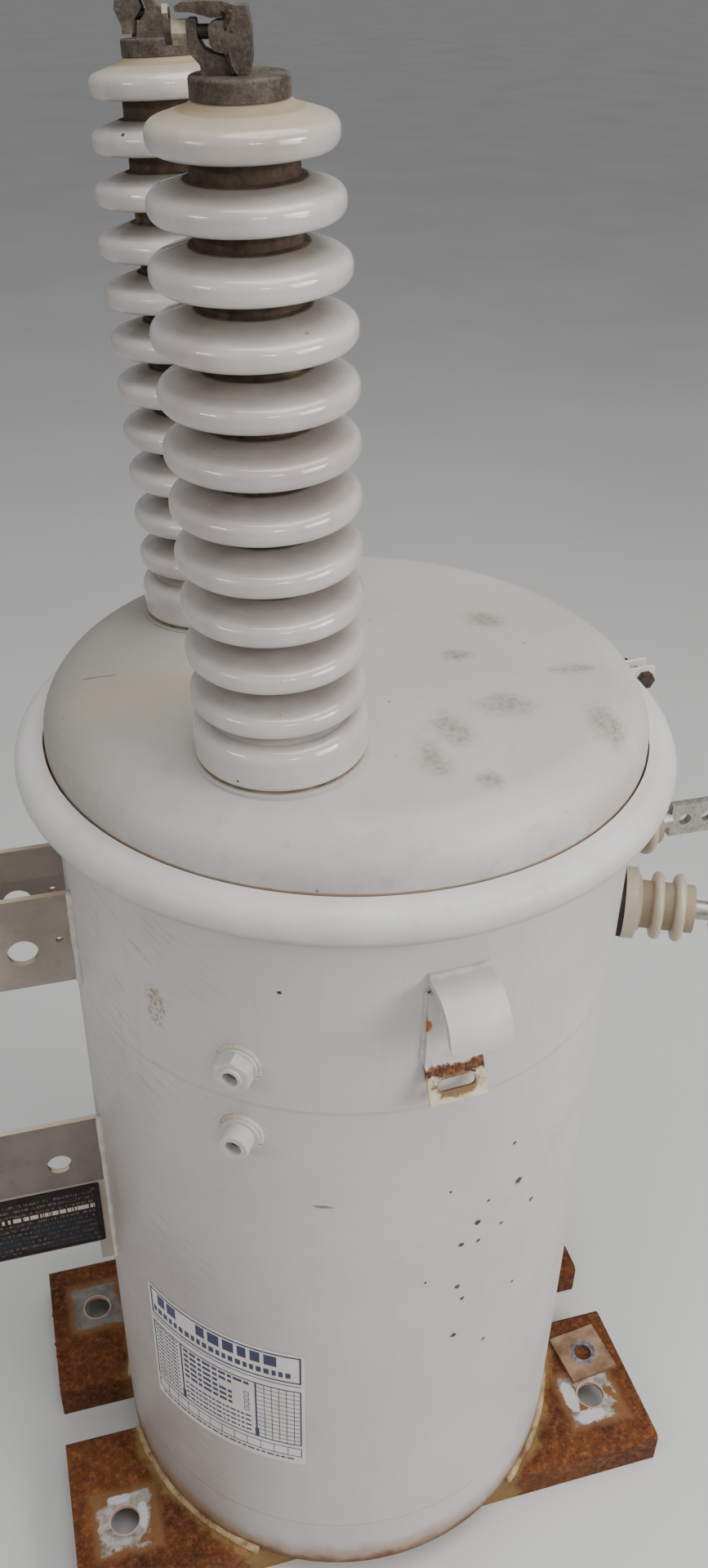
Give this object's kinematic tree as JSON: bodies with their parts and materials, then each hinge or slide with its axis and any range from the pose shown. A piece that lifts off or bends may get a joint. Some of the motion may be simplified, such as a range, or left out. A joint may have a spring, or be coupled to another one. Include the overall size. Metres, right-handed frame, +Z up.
{
  "type": "pole mounted transformer",
  "caption": "Round grey steel tank with a domed clamped cover, tall ribbed porcelain bushings, pole hanger brackets, side low-voltage bushings and rusty base rails.",
  "frame": {"origin": "on the tank's axis at floor level, midway between the base rails' bolt holes", "axes": "+Z up along the tank, +X from the pole hangers towards the low-voltage bushings, -Y towards the front lifting hook"},
  "size_m": [0.8557, 0.6658, 1.6533],
  "materials": {
    "band_paint": "satin",
    "bolt_steel": "dull, darkened",
    "cast_metal": "rough, dull",
    "coil_wrap": "matt",
    "core_steel": "matt",
    "cover_paint": "satin, scuffed",
    "fitting_paint": "satin",
    "gasket_rubber": "matt",
    "hanger_paint": "satin, scuffed",
    "nut_metal": "dull",
    "plate_face": "dull, etched",
    "porcelain": "gloss",
    "rusty_steel": "rusted, flaking",
    "tank_paint": "satin, scuffed",
    "tinned_metal": "dull, tinned",
    "washer_steel": "dull, stained"
  },
  "bodies": {
    "root": {"base_rail_front": "rusty_steel", "base_rail_back": "rusty_steel", "loose_washer": "washer_steel", "tank_shell": "tank_paint", "tank_floor": "tank_paint", "cover_gasket": "gasket_rubber", "cover": "cover_paint", "clamp_band": "band_paint", "hv_bushing_front": "porcelain", "hv_bushing_back": "porcelain", "hv_gasket_front": "gasket_rubber", "hv_gasket_back": "gasket_rubber", "hv_cap_front": "cast_metal", "hv_cap_back": "cast_metal", "hv_jaw_front": "cast_metal", "hv_jaw_back": "cast_metal", "hv_bolt_front": "bolt_steel", "hv_bolt_back": "bolt_steel", "hv_nut_front": "nut_metal", "hv_nut_back": "nut_metal", "band_bolt": "bolt_steel", "lv_bushing_front": "porcelain", "lv_bushing_middle": "porcelain", "lv_bushing_back": "porcelain", "lv_gasket_front": "gasket_rubber", "lv_gasket_middle": "gasket_rubber", "lv_gasket_back": "gasket_rubber", "lv_spade_front": "tinned_metal", "lv_spade_middle": "tinned_metal", "lv_spade_back": "tinned_metal", "hanger_upper": "hanger_paint", "hanger_lower": "hanger_paint", "nameplate_carrier": "hanger_paint", "nameplate": "plate_face", "hook_front": "fitting_paint", "hook_back": "fitting_paint", "tab_front": "fitting_paint", "tab_back": "fitting_paint", "fitting_upper": "fitting_paint", "fitting_lower": "fitting_paint", "plug_upper": "fitting_paint", "plug_lower": "fitting_paint", "ground_boss": "washer_steel", "core_stack": "core_steel", "coil_pack": "coil_wrap"}
  },
  "joints": []
}
